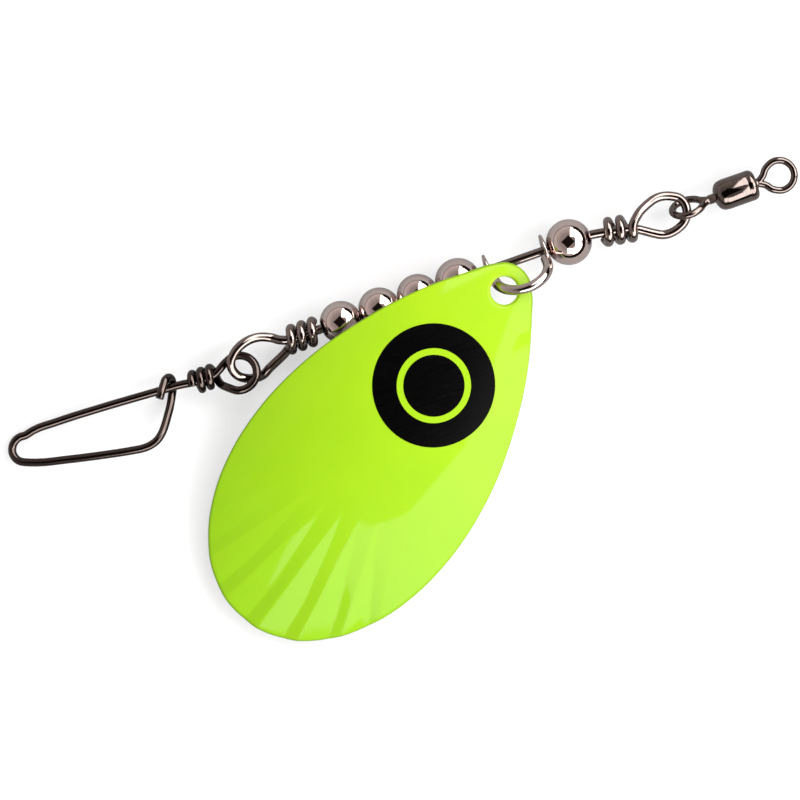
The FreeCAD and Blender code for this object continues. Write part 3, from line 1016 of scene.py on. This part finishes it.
# ---- build the object ----
def build_object():
    shaft_metal = plated_metal("bright_spring_wire", (0.30, 0.25, 0.23), (0.15, 0.115, 0.105), 0.07, 0.08)
    snap_metal = plated_metal("black_nickel_wire", (0.10, 0.078, 0.07), (0.045, 0.034, 0.03), 0.08, 0.1)
    swivel_metal = plated_metal("black_nickel_swivel", (0.20, 0.165, 0.15), (0.1, 0.076, 0.068), 0.07, 0.08)
    clevis_metal = plated_metal("nickel_clevis", (0.58, 0.49, 0.46), (0.36, 0.29, 0.27), 0.05, 0.05)
    bead_metal = plated_metal("mirror_nickel", (0.66, 0.55, 0.515), (0.52, 0.42, 0.39), 0.02, 0.01, 0.2)
    bare_metal = plated_metal("bare_blade_nickel", (0.62, 0.58, 0.55), (0.48, 0.44, 0.41), 0.16, 0.05)
    blade_piece(chartreuse_paint(), bare_metal)
    spot_piece(spot_ink())
    for node in ("top_bead", "bead_4", "bead_3", "bead_2", "bead_1"):
        bead_piece(node, bead_metal)
    barrel_piece(swivel_metal)
    flat = Matrix.Identity(3)
    facing_back = Matrix.Rotation(math.pi, 3, "Z")
    turned = Matrix.Rotation(math.radians(180 - LINK_EYE_TURN), 3, "X") @ facing_back
    for name, node, body, x, turn, head_x in (
        ("line_eye_wire", "swivel_line_eye", "line_eye", 0.0, flat, LINE_HEAD_X),
        ("link_eye_wire", "swivel_link_eye", "link_eye", LINK_EYE_X, turned, LINK_HEAD_X),
    ):
        swivel_eye_piece(name, node, body, X_AXIS * x, turn, head_x, swivel_metal)
    shaft_piece(shaft_metal)
    clevis_piece(clevis_metal)
    snap_pieces(snap_metal)


# ---- studio ----
VIEW_MIDDLE = Vector((-46.97, -9.42, 0.0))
VIEW_WIDTH = 86.96
VIEW_TURN = math.radians(-19.3)
LENS = 150.0
SENSOR = 36.0
FLOOR_HALF = 3000
ROOM_LOW = (0.9, 0.82, 0.8)
ROOM_HIGH = (0.44, 0.39, 0.375)
WINDOW_LIGHT = (6.5, 6.5, 6.5)
DARK = (0.015, 0.012, 0.011)


def add_camera():
    camera = bpy.data.objects.new("camera", bpy.data.cameras.new("camera"))
    bpy.context.scene.collection.objects.link(camera)
    camera.data.lens = LENS
    camera.data.sensor_width = SENSOR
    camera.data.clip_start = 0.01
    distance = VIEW_WIDTH * LENS / SENSOR
    camera.location = (VIEW_MIDDLE + Z_AXIS * distance) * MM
    camera.rotation_euler = (0.0, 0.0, VIEW_TURN)
    bpy.context.scene.camera = camera


def add_floor():
    low = CAD_BOX[0][2] / MM
    signs = ((-1, -1), (1, -1), (1, 1), (-1, 1))
    corners = [Vector((x * FLOOR_HALF, y * FLOOR_HALF, low)) for x, y in signs]
    piece = make_piece("floor", [(corners, [(0, 1, 2, 3)], [(0, 0, 0)] * 4)])
    piece.data.materials.append(floor_material())


def add_softbox(name, direction, distance, size, power):
    """Square area light that looks at the middle of the view; distance and size in metres."""
    light = bpy.data.objects.new(name, bpy.data.lights.new(name, "AREA"))
    light.data.size = size
    light.data.energy = power
    light.location = VIEW_MIDDLE * MM + direction.normalized() * distance
    light.rotation_euler = direction.to_track_quat("Z", "Y").to_euler()
    bpy.context.scene.collection.objects.link(light)


def studio_world():
    """Pale warm room with a large window of light on the right and dark flags low on that side."""
    world = bpy.data.worlds.new("studio")
    bpy.context.scene.world = world
    world.use_nodes = True
    nodes = world.node_tree.nodes
    links = world.node_tree.links
    direction = add_node(nodes, "ShaderNodeTexCoord").outputs["Generated"]

    def along(vector):
        dot = add_node(nodes, "ShaderNodeVectorMath", operation="DOT_PRODUCT")
        links.new(direction, dot.inputs[0])
        dot.inputs[1].default_value = vector.to_tuple()
        return dot.outputs["Value"]

    def both(first, second):
        return combined(nodes, links, "MULTIPLY", first, second)

    def either(*shares):
        share = shares[0]
        for other in shares[1:]:
            share = combined(nodes, links, "MAXIMUM", share, other)
        return share

    def between(value, low, high, soft):
        rise = mapped(nodes, links, value, low - soft, low + soft, 0.0, 1.0)
        fall = mapped(nodes, links, value, high - soft, high + soft, 1.0, 0.0)
        return both(rise, fall)

    def patch(value, low, high, soft, value2, low2, high2, soft2):
        return both(between(value, low, high, soft), between(value2, low2, high2, soft2))

    axis_right = Vector((math.cos(VIEW_TURN), math.sin(VIEW_TURN), 0))
    axis_top = Vector((-math.sin(VIEW_TURN), math.cos(VIEW_TURN), 0))
    right = along(axis_right)
    top = along(axis_top)
    up = along(Z_AXIS)
    rising = along(0.7071 * (axis_right + axis_top))
    falling = along(0.7071 * (axis_right - axis_top))

    height = mapped(nodes, links, up, 0.1, 0.75, 0.0, 1.0)
    room = mixed(nodes, links, height, ROOM_LOW, ROOM_HIGH)
    low_ring = mapped(nodes, links, between(up, -0.05, 0.12, 0.04), 0.0, 1.0, 0.0, 0.55)
    room = mixed(nodes, links, low_ring, room, DARK)
    above = between(up, 0.2, 1.1, 0.02)
    window = either(
        patch(right, 0.52, 0.92, 0.012, top, -0.86, 0.9, 0.015),
        patch(right, -0.15, 0.6, 0.012, top, -0.88, -0.55, 0.012),
        patch(right, 0.06, 0.6, 0.012, top, 0.42, 0.9, 0.012),
        patch(falling, 0.62, 2.0, 0.012, right, 0.3, 0.6, 0.012),
        patch(rising, 0.56, 2.0, 0.012, right, 0.1, 0.6, 0.012),
    )
    room = mixed(nodes, links, both(window, above), room, WINDOW_LIGHT)
    flags = either(
        patch(right, 0.2, 1.1, 0.1, up, -0.02, 0.33, 0.015),
        patch(top, -1.1, -0.4, 0.1, up, -0.02, 0.26, 0.015),
        patch(right, 0.92, 1.1, 0.01, up, -0.02, 0.5, 0.02),
    )
    window_bar = both(patch(top, -0.02, 0.05, 0.01, right, 0.6, 1.0, 0.01), above)
    overhead = between(up, 0.3, 1.1, 0.01)
    camera_shape = both(patch(rising, -0.5, 0.33, 0.012, falling, -0.46, 0.31, 0.012), overhead)
    for shape in (flags, window_bar, camera_shape):
        room = mixed(nodes, links, shape, room, DARK)
    links.new(room, nodes["Background"].inputs["Color"])
    nodes["Background"].inputs["Strength"].default_value = 1.0


build_object()
add_camera()
add_floor()
studio_world()
add_softbox("key_softbox", Vector((0.774, -0.059, 0.63)), 0.6, 0.16, 0.6)
bpy.context.scene.view_settings.view_transform = "Standard"
